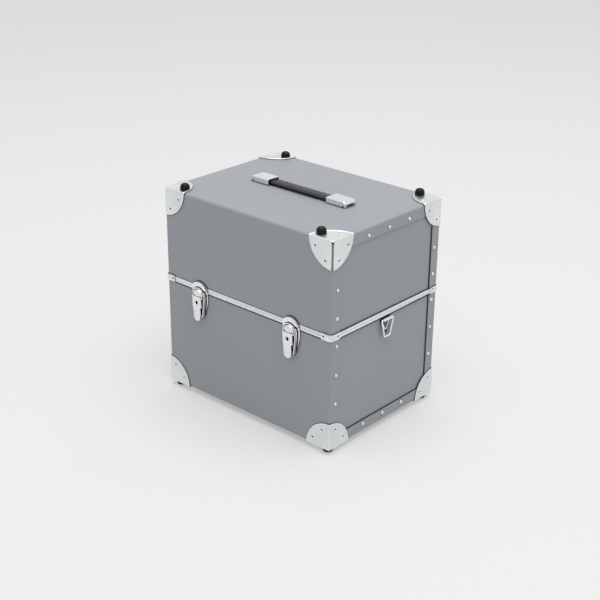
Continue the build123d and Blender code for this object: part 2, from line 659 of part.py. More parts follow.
if __name__ == "__main__":
    os.makedirs("parts", exist_ok=True)

    skin = fibre + corner_sheet
    lid_holes = punched(lid_rivet_seats, shank_width, fibre) + punched(knob_seats, neck_width, skin)
    lid_holes += punched(handle_bolt_seats, neck_width, fibre + cap_sheet)
    base_holes = punched(base_rivet_seats, shank_width, fibre) + punched(foot_seats, neck_width, skin)
    save("lid_wrap", *[lid_shell * sheet - lid_holes for sheet in wrap(lid_shell_height)])
    save("base_wrap", *[base_shell * sheet - base_holes for sheet in wrap(base_shell_height)])
    for name, side in sides.items():
        lid_panel = lid_shell * end_panel(lid_shell_height, side)
        base_panel = base_shell * end_panel(base_shell_height, side)
        save(f"lid_end_{name}", lid_panel - punched(lid_rivet_seats, shank_width, 2 * fibre))
        save(f"base_end_{name}", base_panel - punched(base_rivet_seats, shank_width, 2 * fibre))
    save("lid_rivets", *[place * rivet(2 * fibre) for place in lid_rivet_seats])
    save("base_rivets", *[place * rivet(2 * fibre) for place in base_rivet_seats])

    save("lid_rim", *rim_frame(1))
    save("base_rim", *rim_frame(-1))
    full = (-clasp_height, clasp_height)
    save("lid_clasps", *[clasp(x, 1, band_sheet, (rim_face, clasp_height)) for x in (-1, 1)])
    rear = [clasp(x, 1, band_sheet, (-clasp_height, -rim_face)) for x in (-1, 1)]
    save("base_clasps", *rear, *[clasp(x, -1, band_sheet + seat_gap, full) for x in (-1, 1)])

    lid_plate = corner_plate((knob_side_inset, knob_front_inset), True)
    base_plate = corner_plate((foot_inset, foot_inset), False)
    save("lid_corners", *[at_corner(lid_plate, x, y, True) for x, y in corners])
    save("base_corners", *[at_corner(base_plate, x, y, False) for x, y in corners])

    knob = rubber(knob_radius, knob_top_radius, knob_height)
    foot = rubber(foot_radius, foot_bottom_radius, foot_height)
    save("lid_knobs", *[place * knob for place in knob_seats])
    save("base_feet", *[place * foot for place in foot_seats])
    save("knob_bolts", *[place * bolt(knob_height - rubber_cover, skin) for place in knob_seats])
    save("foot_bolts", *[place * bolt(foot_height - rubber_cover, skin) for place in foot_seats])

    handle_grip = cap_sheet + fibre + backing_sheet
    handle_bolt = bolt(0, handle_grip) + slab(RegularPolygon(bolt_head_radius, 6), 0, bolt_head_height)
    save("handle_bolts", *[place * handle_bolt for place in handle_bolt_seats])
    backing_middle = (0, 0, case_top - fibre - backing_sheet / 2)
    backing = Pos(*backing_middle) * Box(2 * cap_outer, cap_width, backing_sheet)
    save("handle_backing", backing - punched(handle_bolt_seats, neck_width, handle_grip))
    bend = cap_mouth - ramp_length
    save("handle_caps", handle_cap(-1), handle_cap(1))
    for name, side in sides.items():
        save(f"strap_tongue_{name}", strap_tongue(side))
        ramp = strap_piece(bend, cap_mouth, -1, 1)
        save(f"strap_ramp_{name}", ramp if side > 0 else mirror(ramp, Plane.YZ))
    save("strap_grip", strap_piece(-bend, bend, -1, -1))

    hinge_pin = rod(hinge_pin_radius, -hinge_width / 2, hinge_width / 2, 0, hinge_axis_out)
    save("hinge_pins", *[on_back(side * hinge_offset) * hinge_pin for side in (-1, 1)])
    for name, side in sides.items():
        place = on_back(side * hinge_offset)
        save(f"lid_hinge_{name}", place * hinge_leaf(1))
        save(f"base_hinge_{name}", place * hinge_leaf(-1))
        place = on_front(side * latch_offset)
        half_pin = lever_width / 2 + seat_gap + ear_sheet
        lever_pin = rod(lever_pin_radius, -half_pin, half_pin, -lever_pivot_drop, lever_pivot_out)
        bail_pin = rod(bail_pin_radius, -bail_foot_half, bail_foot_half, -bail_pivot_drop, bail_pivot_out)
        save(f"strike_{name}", place * latch_strike())
        save(f"latch_plate_{name}", place * latch_plate())
        save(f"latch_lever_{name}", place * latch_lever())
        save(f"latch_bail_{name}", place * latch_bail())
        save(f"lever_pin_{name}", place * lever_pin)
        save(f"bail_pin_{name}", place * bail_pin)
        save(f"lock_barrel_{name}", place * lock_barrel())
        save(f"ring_bracket_{name}", on_end(side) * ring_bracket())
        save(f"ring_{name}", on_end(side) * ring())
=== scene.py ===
import json
import math
import bmesh
import bpy
from mathutils import Matrix, Vector


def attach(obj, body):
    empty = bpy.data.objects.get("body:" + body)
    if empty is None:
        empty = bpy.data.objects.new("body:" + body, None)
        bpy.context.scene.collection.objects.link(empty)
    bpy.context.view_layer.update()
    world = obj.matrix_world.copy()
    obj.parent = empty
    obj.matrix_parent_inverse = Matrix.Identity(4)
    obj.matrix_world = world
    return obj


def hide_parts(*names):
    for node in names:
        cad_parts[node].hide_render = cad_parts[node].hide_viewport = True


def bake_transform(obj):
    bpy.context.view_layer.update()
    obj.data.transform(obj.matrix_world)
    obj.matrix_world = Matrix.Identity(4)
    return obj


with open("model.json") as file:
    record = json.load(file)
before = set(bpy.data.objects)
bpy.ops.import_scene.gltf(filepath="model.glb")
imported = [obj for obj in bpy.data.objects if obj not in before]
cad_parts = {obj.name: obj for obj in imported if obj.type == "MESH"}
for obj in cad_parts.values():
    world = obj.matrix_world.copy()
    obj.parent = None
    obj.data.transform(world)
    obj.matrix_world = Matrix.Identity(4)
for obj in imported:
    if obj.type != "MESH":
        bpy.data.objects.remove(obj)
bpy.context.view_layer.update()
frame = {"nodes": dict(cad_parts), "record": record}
print("frame loaded:", len(frame["nodes"]), "nodes")

# Lengths are in millimetres here and in metres in the meshes.
mm = 0.001
shiftY = -0.0203     # the part stands centred between its latches and hinges
case = {"halfX": 175.0, "halfY": 130.0, "floor": 9.2, "top": 349.2, "seam": 197.2, "fibre": 2.0}
sides = {"left": -1, "right": 1}
fourWays = [(-1, -1), (-1, 1), (1, -1), (1, 1)]
nodeBody = {node: body for body, nodes in frame["record"]["behaviour"]["bodies"].items() for node in nodes}

# The camera stands where the photograph was taken from.
view = {"azimuth": 41.672, "elevation": 23.881, "roll": 0.542, "lens": 73.05, "sensor": 36.0, "farthest": 50000.0,
        "distance": 1977.0, "centre": (0.0, 0.0, 179.2), "across": -1.6, "rise": -13.3}


def makeCamera():
    azimuth, elevation = math.radians(view["azimuth"]), math.radians(view["elevation"])
    back = Vector((math.sin(azimuth) * math.cos(elevation), -math.cos(azimuth) * math.cos(elevation),
                   math.sin(elevation)))
    right = (-back).cross(Vector((0, 0, 1))).normalized()
    up = right.cross(-back)
    turn = Matrix.Rotation(math.radians(view["roll"]), 3, back)
    right, up = turn @ right, turn @ up
    eye = Vector(view["centre"]) + back * view["distance"] + right * view["across"] + up * view["rise"]
    data = bpy.data.cameras.new("photoCamera")
    data.lens, data.sensor_width = view["lens"], view["sensor"]
    data.clip_end = view["farthest"] * mm
    camera = bpy.data.objects.new("photoCamera", data)
    camera.matrix_world = Matrix.Translation(eye * mm) @ Matrix((right, up, back)).transposed().to_4x4()
    bpy.context.scene.collection.objects.link(camera)
    bpy.context.scene.camera = camera


makeCamera()


def addNode(tree, kind, inputs=None, **settings):
    node = tree.nodes.new("ShaderNode" + kind)
    for name, value in settings.items():
        setattr(node, name, value)
    for name, value in (inputs or {}).items():
        if isinstance(value, bpy.types.NodeSocket):
            tree.links.new(value, node.inputs[name])
        else:
            node.inputs[name].default_value = value
    return node


def startGroup(name, inputs, outputs):
    tree = bpy.data.node_groups.new(name, "ShaderNodeTree")
    for label, value in inputs.items():
        tree.interface.new_socket(name=label, in_out="INPUT", socket_type="NodeSocketFloat").default_value = value
    for label in outputs:
        tree.interface.new_socket(name=label, in_out="OUTPUT", socket_type="NodeSocketFloat")
    return tree, tree.nodes.new("NodeGroupInput"), tree.nodes.new("NodeGroupOutput")


def useGroup(tree, name, **inputs):
    node = tree.nodes.new("ShaderNodeGroup")
    node.node_tree = bpy.data.node_groups[name]
    for label, value in inputs.items():
        node.inputs[label].default_value = value
    return node.outputs


def mixFloat(tree, share, low, high):
    return addNode(tree, "MapRange", {"Value": share, "To Min": low, "To Max": high}).outputs["Result"]


def shadeAround(tree, value, tone):
    # Gives 1 where the value is a half, and a little more or less to each side.
    spread = addNode(tree, "Math", {0: value, 1: 0.5}, operation="SUBTRACT").outputs[0]
    scaled = addNode(tree, "Math", {0: spread, 1: tone}, operation="MULTIPLY").outputs[0]
    return addNode(tree, "Math", {0: scaled, 1: 1.0}, operation="ADD").outputs[0]


def makeGroups():
    # fineGrain: the even tooth of paint, moulded rubber and plated sheet
    tree, given, out = startGroup("fineGrain", {"Scale": 900.0, "Tone": 0.04}, ("Shade", "Height"))
    place = addNode(tree, "TexCoord").outputs["Object"]
    fine = addNode(tree, "TexNoise", {"Vector": place, "Scale": given.outputs["Scale"], "Detail": 4.0,
                                      "Roughness": 0.6})
    tree.links.new(shadeAround(tree, fine.outputs["Fac"], given.outputs["Tone"]), out.inputs["Shade"])
    tree.links.new(fine.outputs["Fac"], out.inputs["Height"])

    # drawnLines: the fine lines that rolling and polishing leave along a sheet
    tree, given, out = startGroup("drawnLines", {"Scale": 260.0, "Stretch": 0.06, "Tone": 0.06},
                                  ("Shade", "Height"))
    place = addNode(tree, "TexCoord").outputs["Object"]
    ratio = addNode(tree, "CombineXYZ", {"X": given.outputs["Stretch"], "Y": given.outputs["Stretch"], "Z": 1.0})
    squeezed = addNode(tree, "VectorMath", {0: place, 1: ratio.outputs[0]}, operation="MULTIPLY").outputs[0]
    lines = addNode(tree, "TexNoise", {"Vector": squeezed, "Scale": given.outputs["Scale"], "Detail": 5.0,
                                       "Roughness": 0.7})
    tree.links.new(shadeAround(tree, lines.outputs["Fac"], given.outputs["Tone"]), out.inputs["Shade"])
    tree.links.new(lines.outputs["Fac"], out.inputs["Height"])

    # smudges: broad patches where hands and cloths have passed
    tree, given, out = startGroup("smudges", {"Scale": 18.0}, ("Mask",))
    place = addNode(tree, "TexCoord").outputs["Object"]
    broad = addNode(tree, "TexNoise", {"Vector": place, "Scale": given.outputs["Scale"], "Detail": 3.0,
                                       "Roughness": 0.55, "Distortion": 0.4})
    soft = addNode(tree, "MapRange", {"Value": broad.outputs["Fac"], "From Min": 0.35, "From Max": 0.68},
                   interpolation_type="SMOOTHSTEP")
    tree.links.new(soft.outputs["Result"], out.inputs["Mask"])

    # edgeWear: bright or rubbed outer edges, broken up by noise
    tree, given, out = startGroup("edgeWear", {"Reach": 0.06, "Scale": 240.0}, ("Mask",))
    place = addNode(tree, "TexCoord").outputs["Object"]
    sharp = addNode(tree, "NewGeometry").outputs["Pointiness"]
    raised = addNode(tree, "Math", {0: sharp, 1: 0.5}, operation="SUBTRACT").outputs[0]
    edge = addNode(tree, "Math", {0: raised, 1: given.outputs["Reach"]}, operation="DIVIDE").outputs[0]
    chips = addNode(tree, "TexNoise", {"Vector": place, "Scale": given.outputs["Scale"], "Detail": 3.0})
    broken = addNode(tree, "MapRange", {"Value": chips.outputs["Fac"], "From Min": 0.4, "From Max": 0.6})
    mask = addNode(tree, "Math", {0: edge, 1: broken.outputs["Result"]}, operation="MULTIPLY", use_clamp=True)
    tree.links.new(mask.outputs[0], out.inputs["Mask"])

    # Painted shade: the colour is darkened in narrow gaps and deep corners, where little light gets in.
    tree, given, out = startGroup("paintedGapShade", {"Reach": 0.004, "Open": 0.9, "Shut": 0.4}, ("Mask",))
    hidden = addNode(tree, "AmbientOcclusion", {"Distance": given.outputs["Reach"]}, samples=12)
    depth = addNode(tree, "MapRange", {"Value": hidden.outputs["AO"], "From Min": given.outputs["Open"],
                                       "From Max": given.outputs["Shut"]}, interpolation_type="SMOOTHSTEP")
    tree.links.new(depth.outputs["Result"], out.inputs["Mask"])


makeGroups()

# Each finish has its colour, the colour it wears to, its roughness and its grain. Reach is how sharp an edge has
# to be to look fully worn, patch is how much smudges change the tone, and gap is how far and how dark the painted
# shade in tight gaps and corners reaches, with the openness where that starts and ends.
finishes = {
    "fibre": {"color": (0.255, 0.270, 0.290), "worn": (0.31, 0.325, 0.345), "roughness": (0.46, 0.54),
              "grain": ("fineGrain", {"Scale": 1500.0, "Tone": 0.035}), "bump": 0.06, "reach": 2.5, "patch": 0.012,
              "gap": (0.003, 0.72, 0.97, 0.70)},
    "fibreEdge": {"color": (0.026, 0.028, 0.032), "worn": (0.06, 0.06, 0.07), "roughness": (0.7, 0.85),
                  "grain": ("drawnLines", {"Scale": 900.0, "Tone": 0.35}), "bump": 0.25, "reach": 0.2, "patch": 0.1,
                  "gap": (0.002, 0.3, 0.9, 0.4)},
    "fibreInside": {"color": (0.085, 0.088, 0.094), "worn": (0.13, 0.13, 0.14), "roughness": (0.7, 0.85),
                    "grain": ("fineGrain", {"Scale": 500.0, "Tone": 0.22}), "bump": 0.3, "reach": 0.2, "patch": 0.1,
                    "gap": (0.004, 0.2, 0.9, 0.4)},
    "aluminium": {"color": (0.74, 0.755, 0.77), "worn": (0.90, 0.90, 0.90), "roughness": (0.32, 0.42),
                  "metallic": 1.0, "grain": ("drawnLines", {"Scale": 420.0, "Stretch": 0.02, "Tone": 0.10}),
                  "bump": 0.06, "reach": 0.08, "patch": 0.04, "gap": (0.003, 0.85, 0.9, 0.4)},
    "zinc": {"color": (0.775, 0.808, 0.795), "worn": (0.93, 0.95, 0.94), "roughness": (0.28, 0.40), "metallic": 1.0,
             "grain": ("fineGrain", {"Scale": 650.0, "Tone": 0.05}), "bump": 0.05, "reach": 0.05, "patch": 0.05,
             "gap": (0.003, 0.7, 0.85, 0.3)},
    "nickel": {"color": (0.72, 0.725, 0.72), "worn": (0.90, 0.90, 0.89), "roughness": (0.2, 0.32), "metallic": 1.0,
               "grain": ("fineGrain", {"Scale": 900.0, "Tone": 0.06}), "bump": 0.04, "reach": 0.06, "patch": 0.05,
               "gap": (0.003, 0.85, 0.9, 0.4)},
    "chrome": {"color": (0.82, 0.83, 0.85), "worn": (0.95, 0.95, 0.96), "roughness": (0.08, 0.18), "metallic": 1.0,
               "grain": ("drawnLines", {"Scale": 300.0, "Stretch": 0.3, "Tone": 0.04}), "bump": 0.03,
               "reach": 0.4, "patch": 0.03, "gap": (0.005, 0.97, 0.86, 0.42)},
    # Dark steel for bolts and screws, and also painted shade and dark reflection inside the handle caps and on the
    # ring brackets' plates.
    "darkSteel": {"color": (0.10, 0.10, 0.105), "worn": (0.25, 0.25, 0.25), "roughness": (0.35, 0.5),
                  "metallic": 1.0, "grain": ("fineGrain", {"Scale": 700.0, "Tone": 0.12}),
                  "bump": 0.1, "reach": 0.08, "patch": 0.1, "gap": (0.003, 0.6, 0.9, 0.4)},
    # Near-black painted shade for the keyhole, the tubular rivets' holes and the strip under the base band.
    "keyway": {"color": (0.006, 0.006, 0.008), "worn": (0.02, 0.02, 0.02), "roughness": (0.5, 0.7), "gloss": 0.1,
               "grain": ("fineGrain", {"Scale": 900.0, "Tone": 0.2}), "bump": 0.1, "reach": 0.1, "patch": 0.1,
               "gap": (0.002, 0.5, 0.9, 0.4)},
    "rubber": {"color": (0.004, 0.004, 0.005), "worn": (0.018, 0.018, 0.019), "roughness": (0.3, 0.45),
               "gloss": 0.16, "grain": ("fineGrain", {"Scale": 1100.0, "Tone": 0.25}),
               "bump": 0.12, "reach": 0.1, "patch": 0.2, "gap": (0.003, 0.5, 0.9, 0.4)},
}


def startMaterial(name):
    material = bpy.data.materials.new(name)
    material.use_nodes = True
    return material, material.node_tree, material.node_tree.nodes["Principled BSDF"]


bumpDepth = 0.4     # what a bump of 1 stands for


def makeFinish(name, look):
    material, tree, shader = startMaterial(name)
    shader.inputs["Metallic"].default_value = look.get("metallic", 0.0)
    shader.inputs["Specular IOR Level"].default_value = look.get("gloss", 0.5)
    kind, values = look["grain"]
    grain = useGroup(tree, kind, **values)
    smudge = useGroup(tree, "smudges")["Mask"]
    wear = useGroup(tree, "edgeWear", Reach=look["reach"])["Mask"]
    worn = addNode(tree, "Mix", {"Factor": wear, 6: (*look["color"], 1), 7: (*look["worn"], 1)}, data_type="RGBA")
    patch = mixFloat(tree, smudge, 1 - look["patch"], 1 + look["patch"])
    shade = addNode(tree, "Math", {0: grain["Shade"], 1: patch}, operation="MULTIPLY").outputs[0]
    # Painted shade: the base colour darkens where ambient occlusion finds a tight gap or corner.
    reach, depth, opened, shut = look["gap"]
    gapShade = mixFloat(tree, useGroup(tree, "paintedGapShade", Reach=reach, Open=opened, Shut=shut)["Mask"], 1.0, 1.0 - depth)
    shade = addNode(tree, "Math", {0: shade, 1: gapShade}, operation="MULTIPLY").outputs[0]
    color = addNode(tree, "VectorMath", {0: worn.outputs[2], "Scale": shade}, operation="SCALE").outputs[0]
    tree.links.new(color, shader.inputs["Base Color"])
    tree.links.new(mixFloat(tree, smudge, *look["roughness"]), shader.inputs["Roughness"])
    bump = addNode(tree, "Bump", {"Strength": look["bump"], "Distance": bumpDepth * mm,
                                "Height": grain["Height"]})
    tree.links.new(bump.outputs["Normal"], shader.inputs["Normal"])
    return material


materials = {name: makeFinish(name, look) for name, look in finishes.items()}


leather = {"crease": (0.003, 0.003, 0.004), "cell": (0.007, 0.007, 0.008), "roughness": (0.26, 0.38), "gloss": 0.5,
           "cells": 1500.0, "uneven": 0.9, "creaseWidth": 0.18, "smudges": 60.0, "bump": 0.35, "depth": 0.2}


def makeStrapFinish():
    # Black grained leather: small cells with creases between them.
    material, tree, shader = startMaterial("strapLeather")
    shader.inputs["Specular IOR Level"].default_value = leather["gloss"]
    place = addNode(tree, "TexCoord").outputs["Object"]
    grown = {"Vector": place, "Scale": leather["cells"], "Randomness": leather["uneven"]}
    cells = addNode(tree, "TexVoronoi", grown, feature="DISTANCE_TO_EDGE").outputs["Distance"]
    crease = addNode(tree, "MapRange", {"Value": cells, "From Max": leather["creaseWidth"]}).outputs["Result"]
    smudge = useGroup(tree, "smudges", Scale=leather["smudges"])["Mask"]
    tone = addNode(tree, "Mix", {"Factor": crease, 6: (*leather["crease"], 1), 7: (*leather["cell"], 1)},
                   data_type="RGBA")
    tree.links.new(tone.outputs[2], shader.inputs["Base Color"])
    tree.links.new(mixFloat(tree, smudge, *leather["roughness"]), shader.inputs["Roughness"])
    bump = addNode(tree, "Bump", {"Strength": leather["bump"], "Distance": leather["depth"] * mm, "Height": crease})
    tree.links.new(bump.outputs["Normal"], shader.inputs["Normal"])
    return material


materials["strap"] = makeStrapFinish()
print("finishes made:", len(materials))


def spot(x, y, z):
    return Vector((x, y + shiftY, z)) * mm


def stand(name, data):
    item = bpy.data.objects.new(name, data)
    bpy.context.scene.collection.objects.link(item)
    return item


def facing(origin, outward, across=None):
    # A place whose local Z points outwards and whose local X runs across.
    z = Vector(outward).normalized()
    x = Vector(across or ((0, 0, 1) if abs(z.z) < 0.9 else (1, 0, 0)))
    x = (x - z * x.dot(z)).normalized()
    place = Matrix((x, z.cross(x), z)).transposed().to_4x4()
    place.translation = origin
    return place


def makePiece(name, mesh, body, finish, replaced=()):
    piece = stand(name, mesh)
    for item in [finish] if isinstance(finish, str) else finish:
        mesh.materials.append(materials[item])
    if body:
        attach(piece, body)
    if replaced:
        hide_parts(*replaced)
    return piece


def keepShape(shape, name, angle=None):
    # Makes a mesh of the shape, smooth over edges up to this angle.
    mesh = bpy.data.meshes.new(name)
    shape.to_mesh(mesh)
    shape.free()
    if angle:
        mesh.shade_smooth()
        mesh.set_sharp_from_angle(angle=math.radians(angle))
    return mesh


def finishShape(shape, name, angle=35):
    bmesh.ops.recalc_face_normals(shape, faces=shape.faces)
    return keepShape(shape, name, angle)


def joinRings(shape, rings, closed=False):
    # Walls from each ring of points to the next, and from the last to the first if closed.
    walls = []
    for low, high in zip(rings, rings[1:] + (rings[:1] if closed else [])):
        for step in range(len(low)):
            after = (step + 1) % len(low)
            walls.append(shape.faces.new((low[step], low[after], high[after], high[step])))
    return walls


def closeEnds(shape, rings):
    shape.faces.new(rings[0])
    shape.faces.new(list(reversed(rings[-1])))


def circleAngles(steps):
    return [2 * math.pi * step / steps for step in range(steps)]


def settleModifiers(mesh, addModifiers, angle=35):
    # Runs modifiers on a mesh and gives the mesh that they make.
    carrier = stand("carrier", mesh)
    addModifiers(carrier)
    bpy.context.view_layer.update()
    graph = bpy.context.evaluated_depsgraph_get()
    result = bpy.data.meshes.new_from_object(carrier.evaluated_get(graph))
    bpy.data.objects.remove(carrier)
    result.shade_smooth()
    result.set_sharp_from_angle(angle=math.radians(angle))
    return result


def cutWith(carrier, holders):
    for holder in holders:
        boolean = carrier.modifiers.new("cut", "BOOLEAN")
        boolean.operation, boolean.object, boolean.solver = "DIFFERENCE", holder, "EXACT"


def gatherCopies(mesh, places, name, angle):
    # One mesh of copies, turned right way out where a place mirrors them.
    shape = bmesh.new()
    for place in places:
        copy = mesh.copy()
        copy.transform(place)
        if place.determinant() < 0:
            copy.flip_normals()
        shape.from_mesh(copy)
        bpy.data.meshes.remove(copy)
    return keepShape(shape, name, angle)


def weightNormals(piece, largeFaces=90):
    modifier = piece.modifiers.new("flatFaces", "WEIGHTED_NORMAL")
    modifier.keep_sharp = True
    modifier.weight = largeFaces


# How a node's edges are rounded: the width for each kind of sheet, the arc's steps, the least angle of an edge
# that is rounded, the most that counts as flat, the most corners that a face keeps, and how near points merge.
rounding = {"rim": 0.35, "clasps": 0.3, "strike": 0.45, "latchPlate": 0.35, "lever": 0.4, "bail": 0.5, "hinge": 0.3,
            "bracket": 0.35, "steps": 3, "sharp": 32, "flat": 0.6, "mostCorners": 8, "merge": 0.002}


def nodeShape(node):
    shape = bmesh.new()
    shape.from_mesh(frame["nodes"][node].data)
    bmesh.ops.remove_doubles(shape, verts=shape.verts, dist=rounding["merge"] * mm)
    return shape


def softCopy(node, width):
    # The node's own shape with its sheet edges rounded over. The rims' long flat faces have holes and notches and
    # stay as the frame cut them up.
    shape = nodeShape(node)
    if not node.endswith("_rim"):
        flat = math.radians(rounding["flat"])
        bmesh.ops.dissolve_limit(shape, angle_limit=flat, verts=shape.verts, edges=shape.edges)
        large = [face for face in shape.faces if len(face.verts) > rounding["mostCorners"]]
        bmesh.ops.triangulate(shape, faces=large)

    def rounded(carrier):
        bevel = carrier.modifiers.new("edges", "BEVEL")
        bevel.width, bevel.segments = width * mm, rounding["steps"]
        bevel.limit_method, bevel.angle_limit = "ANGLE", math.radians(rounding["sharp"])
        bevel.miter_outer = "MITER_ARC"

    return settleModifiers(keepShape(shape, node), rounded)


def softPiece(node, name, width, finish):
    piece = makePiece(name, softCopy(node, width), nodeBody[node], finish, [node])
    weightNormals(piece)
    return piece


def lathe(shape, profile, place, steps):
    # Turns (radius, height) points round the place's Z. They run inwards from the foot, which is closed, to a last
    # one on the axis.
    rings = [[shape.verts.new(place @ (Vector((radius * math.cos(a), radius * math.sin(a), height)) * mm))
              for a in circleAngles(steps)] for radius, height in profile[:-1]]
    tip = shape.verts.new(place @ Vector((0, 0, profile[-1][1] * mm)))
    joinRings(shape, rings)
    for step in range(steps):
        shape.faces.new((rings[-1][step], rings[-1][(step + 1) % steps], tip))
    shape.faces.new(list(reversed(rings[0])))


def turnedPieces(name, profile, places, body, finish, slotName, replaced=(), steps=28, angle=50):
    shape = bmesh.new()
    for place in places:
        lathe(shape, profile, place, steps)
    return makePiece(name, finishShape(shape, name, angle), body, finish, replaced)


def roundedPath(corners, radii, steps, closed=True):
    # Straight runs joined by arcs, as points.
    points = []
    count = len(corners)
    for index, (corner, radius) in enumerate(zip(corners, radii)):
        corner = Vector(corner)
        if not closed and index in (0, count - 1):
            points.append(corner)
            continue
        before = (Vector(corners[index - 1]) - corner).normalized()
        after = (Vector(corners[(index + 1) % count]) - corner).normalized()
        half = before.angle(after) / 2
        middle = corner + (before + after).normalized() * (radius / math.sin(half))
        start = corner + before * (radius / math.tan(half)) - middle
        end = corner + after * (radius / math.tan(half)) - middle
        points += [middle + radius * start.slerp(end, step / steps) for step in range(steps + 1)]
    return points


def tube(shape, points, radius, closed, steps):
    # Round wire along points that lie in one plane, which faces the end of the box.
    flat = Vector((1, 0, 0))
    count = len(points)
    rings = []
    for index, point in enumerate(points):
        before = points[index - 1] if closed or index else point
        after = points[(index + 1) % count] if closed or index < count - 1 else point
        out = (after - before).normalized().cross(flat)
        rings.append([shape.verts.new((point + radius * (out * math.cos(a) + flat * math.sin(a))) * mm)
                      for a in circleAngles(steps)])
    joinRings(shape, rings, closed)
    if not closed:
        closeEnds(shape, rings)


# Looks are the finishes of the outside, the cut edges and the inside. The slacks are how far a point may lie from
# the plane or the end that it is counted to.
fibre = {"looks": ["fibre", "fibreEdge", "fibreInside"], "mitreSlack": 0.02, "endSlack": 0.2, "smooth": 40}


def onMitre(point, top):
    # True on the two slanted planes through the middle of the sheet's bends.
    level = case["top"] - point.z / mm if top else point.z / mm - case["floor"]
    return abs(abs(point.y / mm - shiftY) + level - case["halfY"]) < fibre["mitreSlack"]


def fibreCopy(node):
    # The node's own faces, without the ones inside the sheet where its three lengths meet in the bends.
    shape = nodeShape(node)
    if node.endswith("_wrap"):
        inner = [face for face in shape.faces
                 if abs(face.normal.x) < 0.5 and all(onMitre(v.co, node == "lid_wrap") for v in face.verts)]
        bmesh.ops.delete(shape, geom=inner, context="FACES_ONLY")
    return finishShape(shape, node, fibre["smooth"])


def fibreFaces(mesh):
    # Picks the outside, the cut edges of the flanges and the inside.
    for face in mesh.polygons:
        x, y, z = abs(face.center.x), face.center.y - shiftY * mm, face.center.z - case["seam"] * mm
        n = face.normal
        if x > (case["halfX"] - case["fibre"] - fibre["endSlack"]) * mm and abs(n.x) < 0.3 and n.y * y + n.z * z < 0:
            face.material_index = 1
        elif n.x * face.center.x + n.y * y + n.z * z < 0:
            face.material_index = 2


def makeFibre():
    for part in ("lid", "base"):
        mesh = fibreCopy(f"{part}_wrap")
        fibreFaces(mesh)
        weightNormals(makePiece(f"{part}Wrap", mesh, part, fibre["looks"], [f"{part}_wrap"]))
        for end in sides:
            mesh = fibreCopy(f"{part}_end_{end}")
            for face in mesh.polygons:
                if face.normal.x * sides[end] < -0.5:
                    face.material_index = 2
            name = f"{part}End{end.title()}"
            weightNormals(makePiece(name, mesh, part, fibre["looks"], [f"{part}_end_{end}"]))


makeFibre()
print("fibre box made")

# The rivets that hold the folded flanges to the end panels.
flangeRivets = {"inset": 13.0, "spread": 48.5, "lid": (28.0, 73.0), "base": (-16.5, -64.75, -113.0),
                "profile": [(3.1, 0.0), (3.12, 0.2), (2.95, 0.65), (2.5, 1.1), (1.8, 1.42), (0.9, 1.58), (0, 1.6)]}


def flangePlaces(levels, edgeLevel):
    row = case["halfY"] - flangeRivets["inset"]
    spots = [(front * row, level) for front in (-1, 1) for level in levels]
    spots += [(step * flangeRivets["spread"], edgeLevel) for step in (-1, 0, 1)]
    return [facing(spot(end * case["halfX"], y, z), (end, 0, 0)) for end in (-1, 1) for y, z in spots]


for part, edge, inward in (("lid", "top", -1), ("base", "floor", 1)):
    levels = [case["seam"] + rise for rise in flangeRivets[part]]
    places = flangePlaces(levels, case[edge] + inward * flangeRivets["inset"])
    turnedPieces(f"{part}Rivets", flangeRivets["profile"], places, part, "nickel", "rivet_steel", [f"{part}_rivets"])

# The aluminium bands and their corner angles.
for part in ("lid", "base"):
    softPiece(f"{part}_rim", f"{part}Rim", rounding["rim"], "aluminium")
    softPiece(f"{part}_clasps", f"{part}Clasps", rounding["clasps"], "aluminium")
print("rims made")

# A thin near-black strip stands just under the base band's lower edge: a painted shadow of the band, as a dark sheet.
bandShadowStrip = {"low": 6.4, "high": 4.25, "out": 0.3, "bend": 3.5, "bendSteps": 6}


def makeBandShadowStrip():
    halfX, halfY, bend = case["halfX"], case["halfY"], bandShadowStrip["bend"]
    shape = bmesh.new()
    rows = []
    for out, drop in ((0.0, "high"), (bandShadowStrip["out"], "high"), (bandShadowStrip["out"], "low"), (0.0, "low")):
        x, y, level = halfX + out, halfY + out, case["seam"] - bandShadowStrip[drop]
        corners = [(x, y, level), (-x, y, level), (-x, -y, level), (x, -y, level)]
        path = roundedPath(corners, (bend + out,) * 4, bandShadowStrip["bendSteps"])
        rows.append([shape.verts.new(spot(*point)) for point in path])
    joinRings(shape, rows, True)
    # Painted shadow: a near-black strip where the band's shadow falls.
    makePiece("baseBandShadowStrip", finishShape(shape, "baseBandShadowStrip"), "base", "keyway")


makeBandShadowStrip()

# The corner plates and their tubular rivets.
# Radii are where the rings of points lie on a lobe. Edge is how far the points of a ring lie from a fold, in radii
# of the fold, where they stand closest, and half is how many steps there are from a fold to the lobe's middle.
# Slit is how far a lobe's edge stands from the fold at an open seam, and relief the same between two radii.
plate = {"sheet": 1.2, "thin": 0.1, "reach": 46.2, "fold": 2.2, "slit": 3.0, "relief": 3.7, "reliefTo": (2.6, 7.4),
         "beadWidth": 3.4, "bead": 0.7, "beadSteps": 10, "beadSpan": 1.08, "beadPower": 0.8,
         "radii": (0.0, 0.8, 1.6, 2.4, 3.2, 4.2, 5.4, 6.6, 7.6, 9.0, 12.0, 16.0, 20.0, 25.0, 30.0, 35.0, 39.0,
                   41.6),
         "edge": (0, 0.16, 0.33, 0.5, 0.68, 0.86, 1.05, 1.4, 2.0), "half": 15, "ease": 0.3, "merge": 0.01,
         "rivets": ((32.0, 13.0), (13.0, 32.0)), "smooth": 40}
tubeRivet = {"steps": 20, "smooth": 50,
             "profile": [(2.9, 0.0), (2.9, 0.2), (2.7, 0.5), (2.4, 0.66), (2.0, 0.6), (1.8, 0.4), (1.7, 0.06),
                         (0, 0.05)]}


